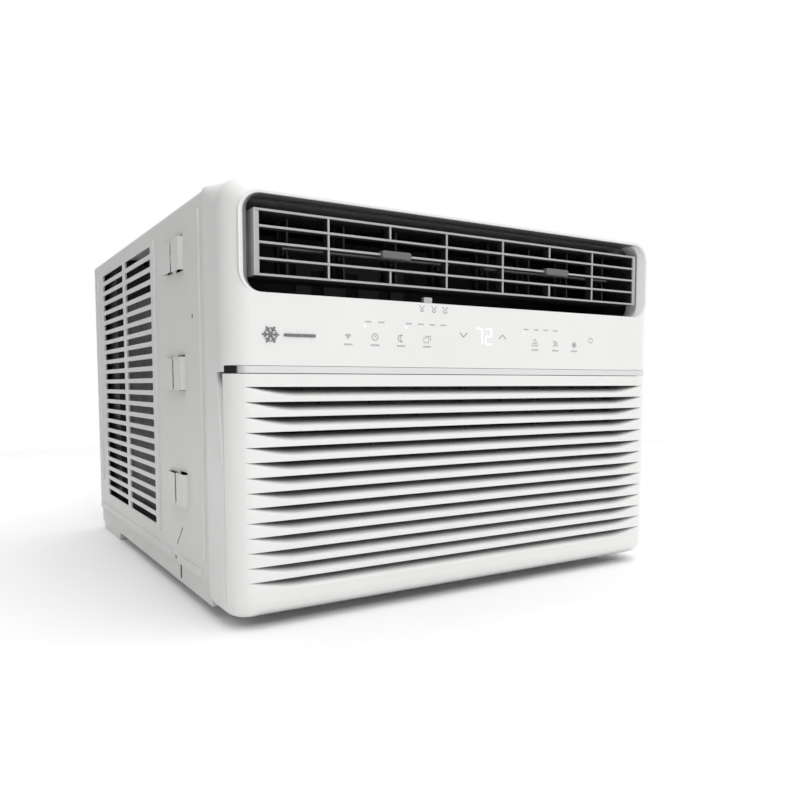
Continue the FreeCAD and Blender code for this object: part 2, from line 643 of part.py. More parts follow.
def fin_block(x0, x1, d0, d1, z0, z1):
    """Upright fins on both faces of a thin web that stands for the tube bank."""
    block = box(x0, x1, d0, d1, z0, z1)
    web = 4.0
    reach = (d1 - d0 - web) / 2
    grooves = []
    for number in range(int((x1 - x0 - FIN_THICK) // FIN_PITCH)):
        start = x0 + FIN_THICK + number * FIN_PITCH
        end = start + FIN_PITCH - FIN_THICK
        grooves.append(box(start, end, d0 - 1, d0 + reach, z0 - 1, z1 + 1))
        grooves.append(box(start, end, d1 - reach, d1 + 1, z0 - 1, z1 + 1))
    return block.cut(Part.makeCompound(grooves))


def end_plates(x0, x1, d0, d1, z0, z1):
    """Two folded plates that hold a coil's tubes."""
    plates = []
    for x, way in ((x0, -1), (x1, 1)):
        a, b = sorted([x, x + way * END_PLATE])
        plates.append(box(a, b, d0 - 2, d1 + 2, z0 - 2, z1 + 2))
    return Part.makeCompound(plates)


def return_bends(coil, depths, z0, z1, radius):
    """U-bends outside a coil's end plates, up each column of tubes."""
    x_left = coil[0] - END_PLATE
    x_right = coil[1] + END_PLATE
    pitch = 23.0
    bends = []
    for column, depth in enumerate(depths):
        count = int((z1 - z0) // pitch)
        for row in range(count):
            x, way = (x_right, 1) if (row + column) % 2 else (x_left, -1)
            low = V(x, y_at(depth), z0 + row * pitch)
            centre = V(x + way * 5, y_at(depth), low.z + pitch / 2)
            arc = Part.Arc(V(x + way * 5, y_at(depth), low.z), centre + V(way * pitch / 2, 0, 0),
                           V(x + way * 5, y_at(depth), low.z + pitch)).toShape()
            start = Part.LineSegment(low, V(x + way * 5, y_at(depth), low.z)).toShape()
            end = Part.LineSegment(V(x + way * 5, y_at(depth), low.z + pitch),
                                   V(x, y_at(depth), low.z + pitch)).toShape()
            ring = Part.Wire(Part.makeCircle(radius, low, V(way, 0, 0)))
            bends.append(Part.Wire([start, arc, end]).makePipeShell([ring], True, False))
    return Part.makeCompound(bends)


def bulkhead():
    """Partition between the indoor and the outdoor half."""
    wall = box(-PAN_HALF + 2.2, PAN_HALF - 2.2, 152.3, 153.5, 11.3, CASE_TOP - SHEET - 0.3)
    return wall.cut([cyl_y(18, 150, 156)] + vent_windows(17, 150, 156))


def fan_shroud():
    """Plate with a round mouth for the outdoor fan, and walls that box in the condenser."""
    plate = box(-232, 232, 440, 442.5, 13, 350)
    ring = cyl_y(160, 404, 442).cut(cyl_y(157, 400, 445))
    walls = box(-232, 232, 442, 534, 13, 350).cut(box(-229.5, 229.5, 441, 535, 15.5, 347.5))
    return plate.fuse([ring, walls]).cut(cyl_y(157, 400, 445))


def air_guide():
    """Grey plate inside the left vents, with folded edges."""
    front = 262.0
    rear = 437.0
    low = 12.0
    high = 296.0
    plate = box(-222.2, -221, front, rear, low, high)
    return fused([plate, box(-222.2, -212, front, front + 1.2, low, high),
                  box(-222.2, -212, rear - 1.2, rear, low, high)])


def motor_case():
    """Motor shell with bearing bosses."""
    shell = cyl_y(55, 182, 272).cut(cyl_y(51, 186, 268))
    bosses = cyl_y(13, 176, 187).fuse(cyl_y(13, 267, 278))
    lugs = [box(x - 9, x + 9, 224, 230, SHAFT_Z - 6, SHAFT_Z + 6) for x in (-60, 60)]
    lugs = [lug.cut(cyl_y(53, 180, 275)) for lug in lugs]
    return shell.fuse([bosses] + lugs).cut(cyl_y(SHAFT_RADIUS + RUNNING, 170, 285))


def motor_stator():
    return cyl_y(50.9, 195, 259).cut(cyl_y(30, 190, 262))


def motor_bracket():
    """Cradle plates, their foot, and a strap over the motor."""
    parts = [box(-64, 64, 190, 260, 11.25, 13.2)]
    for d0 in (190, 257.6):
        parts.append(box(-64, 64, d0, d0 + 2.4, 11.25, SHAFT_Z - 10))
    cradle = fused(parts).cut(cyl_y(55.15, 180, 275))
    strap = cyl_y(57.2, 236, 250).cut(cyl_y(55.15, 230, 255)).common(box(-70, 70, 230, 255, SHAFT_Z, 300))
    ears = [box(min(x, x + 10 * s), max(x, x + 10 * s), 236, 250, SHAFT_Z, SHAFT_Z + 2)
            for x, s in ((56, 1), (-56, -1))]
    strap = strap.fuse([ear.cut(cyl_y(55.15, 230, 255)) for ear in ears])
    return Part.makeCompound([cradle, strap])


def motor_shaft():
    return cyl_y(SHAFT_RADIUS, 88, 442)


def rotor_core():
    return cyl_y(29.4, 195, 259).cut(cyl_y(SHAFT_RADIUS + 0.03, 190, 262))


def blower_wheel():
    """Forward-curved centrifugal wheel."""
    outer = 92.0
    inner = 78.0
    back = cyl_y(outer, 139, 141)
    hub = cyl_y(11, 118, 141)
    ring = cyl_y(outer, 92, 95).cut(cyl_y(inner + 3, 90, 97))
    count = 36
    blades = []
    for number in range(count):
        blade = Part.makeBox(outer - inner - 0.6, 47.2, 1.3, V(inner, y_at(92.4), -0.65))
        blade.rotate(V(inner, 0, 0), V(0, 1, 0), -28)
        blade.rotate(V(0, 0, 0), V(0, 1, 0), number * 360.0 / count)
        blade.translate(V(0, 0, SHAFT_Z))
        blades.append(blade)
    return back.fuse([hub, ring] + blades).cut(cyl_y(SHAFT_RADIUS + 0.03, 80, 150))


def condenser_fan():
    """Five-bladed axial fan with a slinger ring round its tips."""
    hub = cyl_y(30, 400, 436).cut(cyl_y(26, 399, 430)).fuse(cyl_y(11, 400, 436))
    ring = cyl_y(153, 408, 426).cut(cyl_y(149.6, 400, 430))
    blades = []
    for number in range(5):
        blade = twisted_blade(28.0, 151.0)
        blade.rotate(V(0, 0, 0), V(0, 1, 0), number * 72.0)
        blade.translate(V(0, 0, SHAFT_Z))
        blades.append(blade)
    return hub.fuse([ring] + blades).cut(cyl_y(SHAFT_RADIUS + 0.03, 395, 440))


def twisted_blade(root, tip):
    """Blade between two flat sections whose pitch falls towards the tip."""
    sections = []
    for radius, chord, pitch in ((root, 34.0, 38.0), ((root + tip) / 2, 66.0, 27.0), (tip, 62.0, 13.0)):
        corners = []
        for along, across in ((-0.5, -0.9), (0.5, -0.9), (0.5, 0.9), (-0.5, 0.9), (-0.5, -0.9)):
            a = math.radians(pitch)
            z = along * chord * math.cos(a) - across * math.sin(a)
            y = along * chord * math.sin(a) + across * math.cos(a)
            corners.append(V(radius, y_at(417) + y, z))
        sections.append(Part.makePolygon(corners))
    return Part.makeLoft(sections, True, True)


def shaft_nuts():
    """Nuts that hold the wheel and the fan on the shaft."""
    nuts = []
    for d0, d1 in ((111.5, 117.9), (436.1, 441.5)):
        nuts.append(hexagon(7.5, d0, d1).cut(cyl_y(SHAFT_RADIUS + 0.03, d0 - 1, d1 + 1)))
    return Part.makeCompound(nuts)


def hexagon(radius, d0, d1):
    points = []
    for k in range(7):
        a = math.radians(60 * k)
        points.append(V(radius * math.cos(a), y_at(d0), SHAFT_Z + radius * math.sin(a)))
    return Part.Face(Part.makePolygon(points)).extrude(V(0, d1 - d0, 0))


def compressor_feet():
    """Centres of the compressor's three mounting feet."""
    places = []
    for k in range(3):
        a = math.radians(90 + 120 * k)
        places.append((COMPRESSOR_X + 66 * math.cos(a), COMPRESSOR_DEPTH + 66 * math.sin(a)))
    return places


def compressor():
    """Welded rotary compressor can, in two halves, on its three-lobed foot plate."""
    wall = 3.5
    can = compressor_can(COMPRESSOR_RADIUS, 32, 250, 22).cut(
        compressor_can(COMPRESSOR_RADIUS - wall, 32 + wall, 250 - wall, 22 - wall))
    seam = box(0, 300, 200, 400, 160, 300)
    upper = can.common(seam)
    lower = can.cut(seam)
    plate = [cyl_z(56, 29.5, 32.5, COMPRESSOR_X, COMPRESSOR_DEPTH)]
    plate += [cyl_z(15, 29.5, 32.5, x, d) for x, d in compressor_feet()]
    plate = fused(plate).cut([cyl_z(8.2, 20, 40, x, d) for x, d in compressor_feet()])
    stub = cyl_z(4.5, 247, 262, COMPRESSOR_X, COMPRESSOR_DEPTH)
    inlet = cyl_y(5.2, COMPRESSOR_DEPTH - 72, COMPRESSOR_DEPTH - 49, COMPRESSOR_X, 58)
    return Part.makeCompound([fused([lower, plate, inlet]), fused([upper, stub])])


def compressor_can(radius, z0, z1, corner):
    can = cyl_z(radius, z0, z1, COMPRESSOR_X, COMPRESSOR_DEPTH)
    return can.makeFillet(corner, [e for e in can.Edges if isinstance(e.Curve, Part.Circle)])


def compressor_pump():
    """Motor and pump block inside the can."""
    return cyl_z(COMPRESSOR_RADIUS - 3.7, 62, 165, COMPRESSOR_X, COMPRESSOR_DEPTH)


def terminal_cover():
    """Cap over the compressor's terminals."""
    return round_edges(box(COMPRESSOR_X - 40, COMPRESSOR_X - 10, 285, 315, 250.02, 268), V(0, 0, 1), 6)


def grommets():
    shapes = []
    for x, d in compressor_feet():
        ring = fused([cyl_z(13, 11.25, 29.45, x, d), cyl_z(8.0, 20, 38, x, d), cyl_z(12, 32.55, 37, x, d)])
        shapes.append(ring.cut(cyl_z(4.2, 5, 45, x, d)))
    return Part.makeCompound(shapes)


def compressor_studs():
    shapes = []
    for x, d in compressor_feet():
        stud = cyl_z(3.6, 11.25, 47, x, d)
        washer = cyl_z(10, 38.05, 39.6, x, d)
        nut = cyl_z(6.8, 39.6, 45, x, d)
        shapes.append(fused([stud, washer, nut]))
    return Part.makeCompound(shapes)


def accumulator():
    """Suction accumulator beside the compressor."""
    depth = COMPRESSOR_DEPTH - 94
    can = cyl_z(21, 80, 190, COMPRESSOR_X, depth)
    can = can.makeFillet(9, [e for e in can.Edges if isinstance(e.Curve, Part.Circle)])
    return fused([can, cyl_z(5, 185, 205, COMPRESSOR_X, depth)])


def copper_lines():
    """Suction and discharge lines of the compressor, and the coiled capillary."""
    depth = COMPRESSOR_DEPTH - 94
    lower = tube([V(COMPRESSOR_X, y_at(depth), 79.9), V(COMPRESSOR_X, y_at(depth), 58),
                  V(COMPRESSOR_X, y_at(depth + 21.9), 58)], 4.0, 9.0)
    upper = tube([V(COMPRESSOR_X, y_at(depth), 205.1), V(COMPRESSOR_X, y_at(depth), 240),
                  V(COMPRESSOR_X + 60, y_at(depth), 240), V(COMPRESSOR_X + 60, y_at(depth), 262),
                  V(COMPRESSOR_X + 30, y_at(160), 262)], 4.0, 9.0)
    y = y_at(COMPRESSOR_DEPTH)
    discharge = tube([V(COMPRESSOR_X, y, 262.1), V(COMPRESSOR_X, y, 300), V(COMPRESSOR_X + 66, y, 300),
                      V(COMPRESSOR_X + 66, y_at(430), 320)], 3.2, 12.0)
    capillary = [Part.makeTorus(24, 1.4, V(-150, y_at(d), 120), V(0, 1, 0)) for d in (186, 189.2)]
    return Part.makeCompound([lower, upper, discharge] + capillary)


def control_box():
    """Sheet-metal box for the electrics, open to the room side."""
    outer = box(188, 236, 84, 150, 62, 262)
    return outer.cut(box(189.2, 234.8, 83, 148.8, 63.2, 260.8))


def control_board():
    return box(191, 192.6, 90, 145, 75, 250)


def run_capacitor():
    can = cyl_z(19, 70, 140, 214, 118)
    return can.makeFillet(2.0, [e for e in can.Edges if isinstance(e.Curve, Part.Circle)])


def cord_gland():
    """Bush for the power lead in the right side wall."""
    flange = cyl_x(11, PANEL_HALF + 0.02, PANEL_HALF + 2.2, 40, 40)
    neck = cyl_x(8.0, 233, PANEL_HALF + 1, 40, 40)
    return fused([flange, neck]).cut(cyl_x(4.3, 230, 250, 40, 40))


def thermistor():
    """Sensor bulb clipped in front of the evaporator."""
    return fused([cyl_z(2.6, 150, 176, 120, 35), box(116, 124, 33.6, 39.4, 160, 163)])


def case_screws():
    """Pan-head screws of the rear panel."""
    shapes = []
    for x in (-226, 226):
        for z in (60, 190, 320):
            shapes.append(cyl_y(3.8, 538.02, DEPTH + BADGE_PROUD, x, z))
    return Part.makeCompound(shapes)


def build():
    outer, shell = panel_shell()
    nodes = {
        "base_pan": base_pan(), "drain_plug": drain_plug(), "outer_case": outer_case(),
        "curtain_tabs_left": curtain_tabs(), "curtain_tabs_right": mirrored(curtain_tabs()),
        "rear_panel": rear_panel(), "front_panel": front_panel(outer, shell), "trim_strip": trim_strip(),
        "badge": badge(), "display_board": display_board(), "light_guide": light_guide(),
        "touch_springs": touch_springs(), "outlet_duct": outlet_duct(), "scroll_housing": scroll_housing(),
        "bulkhead": bulkhead(), "evaporator_fins": fin_block(*EVAPORATOR),
        "evaporator_end_plates": end_plates(*EVAPORATOR),
        "evaporator_bends": return_bends(EVAPORATOR, (50, 64), 46, 210, 3.6),
        "thermistor": thermistor(), "condenser_fins": fin_block(*CONDENSER),
        "condenser_end_plates": end_plates(*CONDENSER),
        "condenser_bends": return_bends(CONDENSER, (502, 520), 30, 330, 3.2),
        "fan_shroud": fan_shroud(), "air_guide": air_guide(), "motor_case": motor_case(),
        "motor_stator": motor_stator(), "motor_bracket": motor_bracket(), "compressor": compressor(),
        "compressor_pump": compressor_pump(), "terminal_cover": terminal_cover(),
        "compressor_grommets": grommets(),
        "compressor_studs": compressor_studs(), "accumulator": accumulator(),
        "copper_lines": copper_lines(),
        "control_box": control_box(), "control_board": control_board(), "run_capacitor": run_capacitor(),
        "cord_gland": cord_gland(), "case_screws": case_screws(),
        "intake_grille": intake_grille(outer, shell), "air_filter": air_filter(),
        "louver_frame": louver_frame(), "vane_carrier": vane_carrier(),
        "vent_lever": vent_lever(), "vent_shutter": vent_shutter(),
        "motor_shaft": motor_shaft(), "rotor_core": rotor_core(), "blower_wheel": blower_wheel(),
        "condenser_fan": condenser_fan(), "shaft_nuts": shaft_nuts(),
    }
    for side, centre in TAB_CENTRES.items():
        sign = -1 if side == "left" else 1
        nodes["vane_tab_" + side] = adjuster(side, centre)
        for number, offset in enumerate(VANE_OFFSETS, 1):
            nodes["vane_%s_%d" % (side, number)] = vane(sign * offset)
    return nodes


os.makedirs("parts", exist_ok=True)
for name, shape in build().items():
    shape.exportStep("parts/%s.step" % name)
    print("%-24s solids %2d valid %s volume %.0f" % (name, len(shape.Solids), shape.isValid(), shape.Volume))
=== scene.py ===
import json
import math

import bmesh
import bpy
from mathutils import Matrix, Vector


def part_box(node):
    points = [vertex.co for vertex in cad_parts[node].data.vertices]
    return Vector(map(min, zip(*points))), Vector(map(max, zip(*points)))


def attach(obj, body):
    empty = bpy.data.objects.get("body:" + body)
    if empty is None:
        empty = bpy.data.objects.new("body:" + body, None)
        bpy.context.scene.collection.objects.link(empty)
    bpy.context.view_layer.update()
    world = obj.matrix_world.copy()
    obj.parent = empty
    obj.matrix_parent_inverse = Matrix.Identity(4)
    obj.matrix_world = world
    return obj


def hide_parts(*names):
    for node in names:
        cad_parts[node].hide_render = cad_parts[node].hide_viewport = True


# Window air conditioner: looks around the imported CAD. Lengths are millimetres until a vertex is made.

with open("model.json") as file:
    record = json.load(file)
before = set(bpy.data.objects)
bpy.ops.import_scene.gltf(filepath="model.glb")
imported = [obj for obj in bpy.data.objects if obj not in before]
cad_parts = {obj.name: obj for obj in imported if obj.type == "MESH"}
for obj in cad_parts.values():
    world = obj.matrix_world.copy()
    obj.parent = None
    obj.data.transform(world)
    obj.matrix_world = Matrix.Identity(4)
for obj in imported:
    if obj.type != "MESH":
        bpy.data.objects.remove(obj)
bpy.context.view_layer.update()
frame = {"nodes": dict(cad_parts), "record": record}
NODES = frame["nodes"]
MM = 0.001

# Front plane, and the half width of its flat part between the rounded uprights
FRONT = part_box("intake_grille")[0].y / MM
UPRIGHT_RADIUS = 21.0
FLAT_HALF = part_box("front_panel")[1].x / MM - UPRIGHT_RADIUS

# Intake louvres: a flat face, then a top that leans back in a curve
LOUVRE_COUNT = 14
LOUVRE_TOP = 194.75
LOUVRE_PITCH = 11.96
LOUVRE_HALF = 227.0
LOUVRE_TAPER = 46.0
LOUVRE_WALL = 2.5
ROLL_DEPTH = 14.0
ROLL_GAP = 2.4
ROLL_HEIGHT = 9.0
ROLL_CURVE = 1.9
ROLL_WALL = 1.4
SLOT_DEPTH = 12.0
RIB_PLACES = (-170, -85, 0, 85, 170)

# Printed and lit graphics stand this far off the panel
PRINT_PROUD = 0.05
INK_WIDTH = 0.55
FILM_SHARE = 1.6

# Height of the key icons, of the key labels under them and of the mode labels above them
KEY_HEIGHT = 236.3
KEY_LABEL_HEIGHT = 229.9
MODE_LABEL_HEIGHT = 249.5

# Coils
FIN_PITCH = 1.7
FIN_SHEET = 0.22
TUBE_RADIUS = 3.6
TUBE_STEP = 23.0


# ---------------------------------------------------------------- materials


class Finish:
    """One procedural material: a Principled shader with textures in the part's own coordinates."""

    def __init__(self, name, metallic=0.0, specular=0.5, coat=0.0, coat_roughness=0.1):
        self.material = bpy.data.materials.new(name)
        self.material.use_nodes = True
        self.tree = self.material.node_tree
        self.shader = self.tree.nodes["Principled BSDF"]
        self.shader.inputs["Metallic"].default_value = metallic
        self.shader.inputs["Specular IOR Level"].default_value = specular
        self.shader.inputs["Coat Weight"].default_value = coat
        self.shader.inputs["Coat Roughness"].default_value = coat_roughness
        self.place = self.tree.nodes.new("ShaderNodeTexCoord").outputs["Object"]
        self.normal = None

    def add(self, kind, **values):
        node = self.tree.nodes.new(kind)
        for key, value in values.items():
            setattr(node, key, value)
        return node

    def link(self, start, end):
        self.tree.links.new(start, end)

    def along(self, axis, start, end, node=None):
        """0 before one place along an axis of the unit, 1 after another. Places are in millimetres."""
        shift = NODES[node].matrix_world.translation["XYZ".index(axis)] if node else 0.0
        parts = self.add("ShaderNodeSeparateXYZ")
        self.link(self.place, parts.inputs["Vector"])
        return self.ranged(parts.outputs[axis], 0.0, 1.0, start * MM - shift, end * MM - shift)

    def product(self, *values):
        result = values[0]
        for value in values[1:]:
            node = self.add("ShaderNodeMath", operation="MULTIPLY")
            self.link(result, node.inputs[0])
            self.link(value, node.inputs[1])
            result = node.outputs["Value"]
        return result

    def either(self, first, second):
        """The larger of two shares."""
        node = self.add("ShaderNodeMath", operation="MAXIMUM")
        self.link(first, node.inputs[0])
        self.link(second, node.inputs[1])
        return node.outputs["Value"]

    def blend(self, share, near, far):
        """Mix of two colours, by share. Each is a plain colour or another blend."""
        node = self.add("ShaderNodeMix", data_type="RGBA")
        self.link(share, node.inputs["Factor"])
        for number, colour in ((6, near), (7, far)):
            if isinstance(colour, tuple):
                node.inputs[number].default_value = (*colour, 1)
            else:
                self.link(colour, node.inputs[number])
        return node.outputs[2]

    def coloured_by(self, share, near, far):
        """Blend of two colours as the surface's colour, with a slight mottling."""
        mottle = self.ranged(self.noise(9, detail=2), 0.975, 1.0)
        scaled = self.add("ShaderNodeVectorMath", operation="SCALE")
        self.link(self.blend(share, near, far), scaled.inputs[0])
        self.link(mottle, scaled.inputs["Scale"])
        self.link(scaled.outputs["Vector"], self.shader.inputs["Base Color"])

    def coordinates(self, stretch):
        mapping = self.add("ShaderNodeMapping")
        mapping.inputs["Scale"].default_value = stretch
        self.link(self.place, mapping.inputs["Vector"])
        return mapping.outputs["Vector"]

    def noise(self, scale, stretch=(1, 1, 1), detail=3.0):
        node = self.add("ShaderNodeTexNoise")
        node.inputs["Scale"].default_value = scale
        node.inputs["Detail"].default_value = detail
        self.link(self.coordinates(stretch), node.inputs["Vector"])
        return node.outputs["Fac"]

    def cells(self, scale, output="Color", stretch=(1, 1, 1), feature="F1"):
        node = self.add("ShaderNodeTexVoronoi", feature=feature)
        node.inputs["Scale"].default_value = scale
        self.link(self.coordinates(stretch), node.inputs["Vector"])
        return node.outputs[output]

    def bands(self, scale, direction, distortion=0.0):
        node = self.add("ShaderNodeTexWave", bands_direction=direction)
        node.inputs["Scale"].default_value = scale
        node.inputs["Distortion"].default_value = distortion
        self.link(self.place, node.inputs["Vector"])
        return node.outputs["Fac"]

    def ranged(self, value, low, high, start=0.3, end=0.7):
        node = self.add("ShaderNodeMapRange")
        node.inputs["From Min"].default_value = start
        node.inputs["From Max"].default_value = end
        node.inputs["To Min"].default_value = low
        node.inputs["To Max"].default_value = high
        self.link(value, node.inputs["Value"])
        return node.outputs["Result"]

    def colour(self, value, low, high, start=0.3, end=0.7):
        ramp = self.add("ShaderNodeValToRGB")
        ramp.color_ramp.elements[0].position = start
        ramp.color_ramp.elements[0].color = (*low, 1)
        ramp.color_ramp.elements[1].position = end
        ramp.color_ramp.elements[1].color = (*high, 1)
        self.link(value, ramp.inputs["Fac"])
        self.link(ramp.outputs["Color"], self.shader.inputs["Base Color"])

    def roughness(self, value, low, high):
        self.link(self.ranged(value, low, high), self.shader.inputs["Roughness"])

    def bevel(self, radius):
        """Softens the look of sharp CAD edges."""
        node = self.add("ShaderNodeBevel", samples=4)
        node.inputs["Radius"].default_value = radius * MM
        self.normal = node.outputs["Normal"]

    def bump(self, height, distance, strength=1.0):
        node = self.add("ShaderNodeBump")
        node.inputs["Distance"].default_value = distance * MM
        node.inputs["Strength"].default_value = strength
        self.link(height, node.inputs["Height"])
        if self.normal is not None:
            self.link(self.normal, node.inputs["Normal"])
        self.normal = node.outputs["Normal"]

    def done(self):
        if self.normal is not None:
            self.link(self.normal, self.shader.inputs["Normal"])
        return self.material


def shade(colour, factor):
    return tuple(c * factor for c in colour)


def moulded(name, colour, rough, grain=1.0, specular=0.5):
    """Injection-moulded plastic: slight mottling, uneven gloss and a fine spark-eroded grain."""
    f = Finish(name, specular=specular)
    f.colour(f.noise(9, detail=2), shade(colour, 0.975), colour)
    f.roughness(f.noise(40, detail=4), rough - 0.05, rough + 0.06)
    f.bevel(0.35)
    f.bump(f.noise(1500, detail=2), 0.02 * grain, 0.5)
    return f.done()


def plastic_surface(f, rough):
    """Gloss and grain shared by the mouldings that have more than one colour."""
    f.roughness(f.noise(40, detail=4), rough - 0.05, rough + 0.06)
    f.bevel(0.3)
    f.bump(f.noise(1500, detail=2), 0.02, 0.5)
    return f.done()


def panel_plastic(name, colour):
    """White moulding with painted shade in the outlet mouth and a painted shadow at the top of the finger
    scoop.
    """
    f = Finish(name)

    def along(axis, start, end):
        return f.along(axis, start, end, "front_panel")

    # The mouth, painted dark as painted shade: behind the lip, between its foot and its top, and clear of
    # the right side
    between_heights = f.product(along("Z", 345.0, 344.8), along("Z", 267.9, 268.2))
    between_sides = f.product(along("X", -228.5, -228.3), along("X", 214.0, 208.0))
    mouth = f.product(along("Y", FRONT + 2.0, FRONT + 2.4), between_heights, between_sides)
    # The rounded outer corner of the front reaches into those limits, but it stays white
    off_corner = f.either(along("Z", 341.0, 340.8), along("X", -223.0, -222.8))
    # Painted shadow at the top of the finger scoop, where the ledge above it would shade it
    scoop = f.product(along("Z", 193.0, 203.0), along("Z", 206.6, 206.5), along("X", -241.3, -238.0),
                      along("X", -232.0, -232.2), along("Y", FRONT + 13.6, FRONT + 13.8))
    # Painted shade, darker still towards the mouth's ceiling and away from its left wall
    ceiling = f.product(along("Z", 330.0, 341.0), along("X", -226.0, -214.0))
    painted_shade = f.blend(ceiling, (0.19, 0.19, 0.19), (0.15, 0.15, 0.15))
    f.coloured_by(f.either(f.product(mouth, off_corner), scoop), colour, painted_shade)
    return plastic_surface(f, 0.36)


def grille_plastic(name, colour):
    """White moulding with painted shade in the recesses between the louvres."""
    f = Finish(name)
    between_ends = f.product(f.along("X", -222, -214), f.along("X", 222, 214))
    # Painted shade: darker further back between the louvres, away from their ends
    painted_recess_shade = f.product(f.along("Y", FRONT + 1.5, FRONT + SLOT_DEPTH), between_ends)
    f.coloured_by(painted_recess_shade, colour, shade(colour, 0.25))
    return plastic_surface(f, 0.36)


def duct_plastic(name, node):
    """Charcoal moulding with a ceiling painted paler, as painted light on the shaded ceiling."""
    f = Finish(name, specular=0.35)
    # Painted light: the ceiling is painted pale grey so that it reads lighter than the charcoal around it
    ceiling = f.product(f.along("Z", 338.0, 342.0, node), f.along("Y", FRONT + 20.6, FRONT + 21.6, node))
    f.coloured_by(ceiling, (0.07, 0.07, 0.071), (0.7, 0.7, 0.7))
    return plastic_surface(f, 0.5)


def louver_plastic(name, node):
    """Light grey front edges; the left end face is painted pale as painted light, and the parts behind the
    front edges are painted charcoal as painted shade.
    """
    f = Finish(name, specular=0.4)
    # Painted shade behind the front edges, and a painted-light pale left end face
    behind = f.along("Y", FRONT + 4.4, FRONT + 5.4, node)
    within = f.along("X", -215.9, -215.6, node)
    edges = f.blend(within, (0.85, 0.85, 0.85), (0.42, 0.42, 0.42))
    f.coloured_by(f.product(behind, within), edges, (0.04, 0.04, 0.041))
    return plastic_surface(f, 0.42)


def trim_foil(name, node):
    """Satin silver on the front, and painted black as painted shade where the strip wraps round the side.
    """
    f = Finish(name, metallic=0.6)
    # Painted shade: black where the strip turns away round the side
    f.coloured_by(f.along("Y", FRONT + 2.6, FRONT + 3.6, node), (0.74, 0.74, 0.74), (0.03, 0.03, 0.03))
    return plastic_surface(f, 0.34)


def powder_coat(name, colour, rough):
    """Powder-coated sheet: orange peel, faint colour drift and gloss variation."""
    f = Finish(name, specular=0.45)
    f.colour(f.noise(7, detail=2), shade(colour, 0.97), colour)
    f.roughness(f.noise(60, detail=3), rough - 0.05, rough + 0.07)
    f.bevel(0.45)
    f.bump(f.noise(420, detail=1), 0.035, 0.6)
    f.bump(f.noise(1900, detail=1), 0.01, 0.4)
    return f.done()


def brushed(name, colour, rough, stretch, scale=900):
    """Metal with fine parallel streaks; the stretch is low along the brushing."""
    f = Finish(name, metallic=1.0)
    streak = f.noise(scale, stretch=stretch, detail=3)
    f.colour(streak, shade(colour, 0.85), colour)
    f.roughness(streak, rough - 0.07, rough + 0.1)
    f.bevel(0.2)
    f.bump(streak, 0.01, 0.4)
    return f.done()


def spangled(name, colour):
    """Galvanised sheet with zinc crystals."""
    f = Finish(name, metallic=1.0)
    crystal = f.cells(110)
    f.colour(crystal, shade(colour, 0.72), colour, 0.1, 0.9)
    f.roughness(crystal, 0.32, 0.5)
    f.bevel(0.3)
    f.bump(f.noise(300), 0.02, 0.4)
    return f.done()


def drawn_tube(name, colour):
    """Drawn copper with tarnish patches."""
    f = Finish(name, metallic=1.0)
    patches = f.noise(45, detail=5)
    f.colour(patches, shade(colour, 0.55), colour, 0.35, 0.65)
    f.roughness(patches, 0.4, 0.2)
    f.bump(f.noise(700), 0.01, 0.4)
    return f.done()


def enamel(name, colour):
    """Thick glossy paint with runs and orange peel."""
    f = Finish(name, coat=0.6, coat_roughness=0.12)
    f.colour(f.noise(25), shade(colour, 0.7), colour)
    f.roughness(f.noise(80), 0.3, 0.5)
    f.bump(f.noise(350, detail=1), 0.05, 0.5)
    return f.done()


def laminated(name, colour):
    """Stack of half-millimetre steel sheets."""
    f = Finish(name, metallic=0.8)
    layers = f.bands(320, "Y", 0.4)
    f.colour(layers, shade(colour, 0.5), colour, 0.2, 0.8)
    f.roughness(f.noise(120), 0.45, 0.65)
    f.bump(layers, 0.05, 0.8)
    return f.done()


def rubber(name, colour):
    """Matt rubber with a dusty grain."""
    f = Finish(name, specular=0.3)
    f.colour(f.noise(60), shade(colour, 0.8), colour)
    f.roughness(f.noise(150), 0.65, 0.85)
    f.bevel(0.4)
    f.bump(f.noise(900), 0.03, 0.6)
    return f.done()


def circuit_board(name):
    """Solder mask over copper tracks, with tinned pads."""
    f = Finish(name, specular=0.6, coat=0.3)
    tracks = f.cells(260, output="Distance", stretch=(1, 0.2, 3), feature="DISTANCE_TO_EDGE")
    f.colour(tracks, (0.05, 0.26, 0.1), (0.012, 0.13, 0.045), 0.03, 0.06)
    f.roughness(f.noise(90), 0.25, 0.4)
    f.bump(tracks, 0.03, 0.6)
    return f.done()


def finned(name, colour):
    """Bare fin stock, pressed with faint ripples."""
    f = Finish(name, metallic=1.0)
    f.colour(f.noise(5, detail=2), shade(colour, 0.93), colour)
    f.roughness(f.noise(60), 0.36, 0.42)
    f.bump(f.bands(180, "Z"), 0.05, 0.6)
    return f.done()


def milky(name, colour):
    """Translucent light guide."""
    f = Finish(name, specular=0.5)
    f.colour(f.noise(200), shade(colour, 0.95), colour)
    f.roughness(f.noise(300), 0.4, 0.55)
    f.shader.inputs["Subsurface Weight"].default_value = 0.3
    f.shader.inputs["Subsurface Radius"].default_value = (0.002, 0.002, 0.002)
    f.bump(f.noise(1200), 0.01, 0.4)
    return f.done()


def ink(name, colour):
    """Screen print with a slightly uneven film."""
    f = Finish(name, specular=0.3)
    f.colour(f.noise(1400, detail=2), shade(colour, 0.88), shade(colour, 1.08))
    f.roughness(f.noise(900), 0.45, 0.6)
    f.bump(f.noise(2600), 0.01, 0.4)
    return f.done()


def glowing(name, colour, strength):
    """Lit display segment behind the panel skin."""
    f = Finish(name)
    f.colour(f.noise(500), shade(colour, 0.9), colour)
    f.roughness(f.noise(700), 0.35, 0.5)
    f.shader.inputs["Emission Color"].default_value = (*colour, 1)
    f.shader.inputs["Emission Strength"].default_value = strength
    f.bump(f.noise(2000), 0.005, 0.3)
    return f.done()


